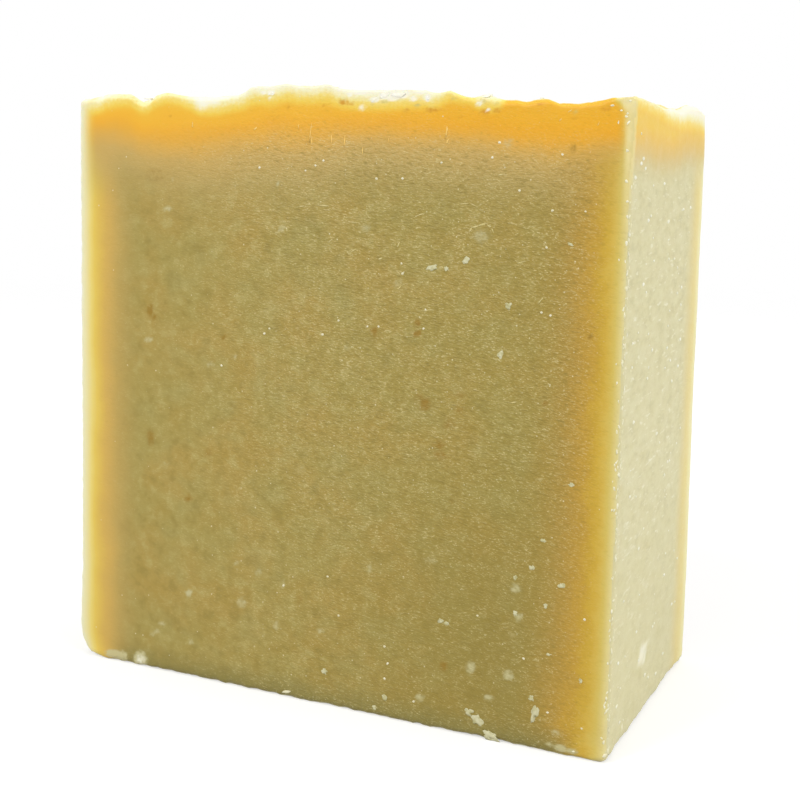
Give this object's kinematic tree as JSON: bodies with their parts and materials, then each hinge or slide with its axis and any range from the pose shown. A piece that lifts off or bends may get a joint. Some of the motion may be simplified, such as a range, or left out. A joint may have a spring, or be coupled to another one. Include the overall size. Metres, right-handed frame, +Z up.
{
  "type": "bar of soap",
  "caption": "Squarish slab of hand-cut soap that stands on a narrow face, with a green core, a pale golden rim and a rough poured top.",
  "frame": {"origin": "middle of the narrow face that the bar stands on", "axes": "+Z up from the standing face to the poured top; +X along the broad cut face to its right-hand side; -Y out of the broad cut face that looks forward"},
  "size_m": [0.0594, 0.0298, 0.0612],
  "materials": {
    "soap": "waxy matt soap: olive-green core, cream to golden rim at the sides and top, sage-green mould faces, white bloom on the top"
  },
  "bodies": {
    "root": {"soap_bar": "soap"}
  },
  "joints": []
}
